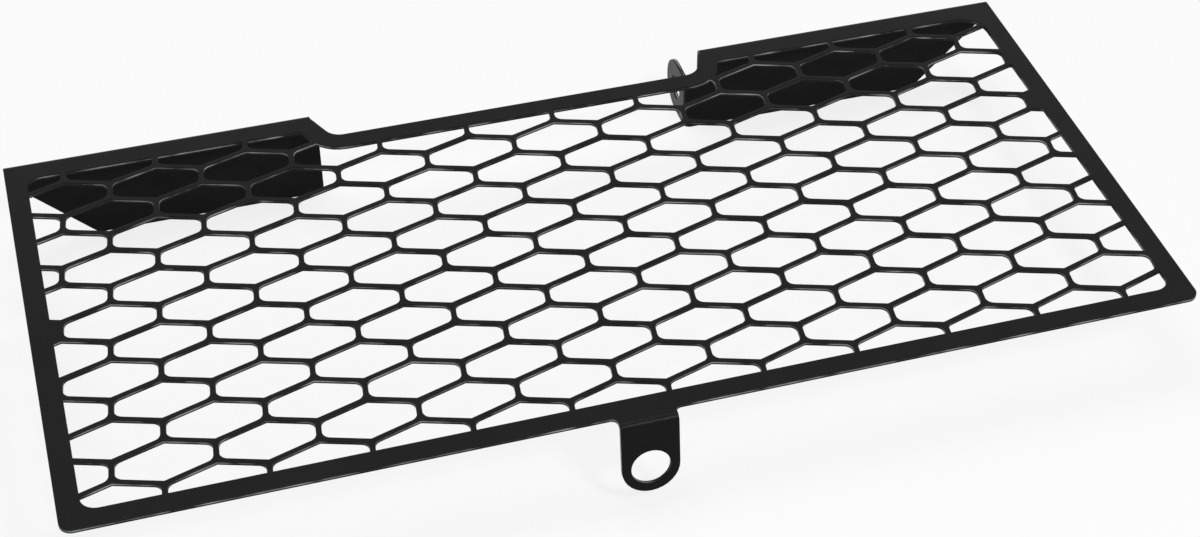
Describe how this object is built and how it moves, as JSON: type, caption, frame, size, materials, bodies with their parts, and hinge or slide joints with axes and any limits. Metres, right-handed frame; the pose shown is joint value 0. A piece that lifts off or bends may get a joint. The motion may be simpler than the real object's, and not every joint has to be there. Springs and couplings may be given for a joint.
{
  "type": "radiator grille",
  "caption": "Black powder-coated sheet-metal radiator grille with a field of long hexagonal cells, two folded-back top flanges, a lower fixing tab and a side ear.",
  "frame": {"origin": "middle of the bounding box, at the level of the flanges' lower edges", "axes": "+X along the panel, +Y towards the folded wings, +Z out of the panel's front face"},
  "size_m": [0.36, 0.2046, 0.0344],
  "materials": {
    "powder_coat": "satin black powder coat with a fine texture"
  },
  "bodies": {
    "root": {"radiator_grille": "powder_coat"}
  },
  "joints": []
}
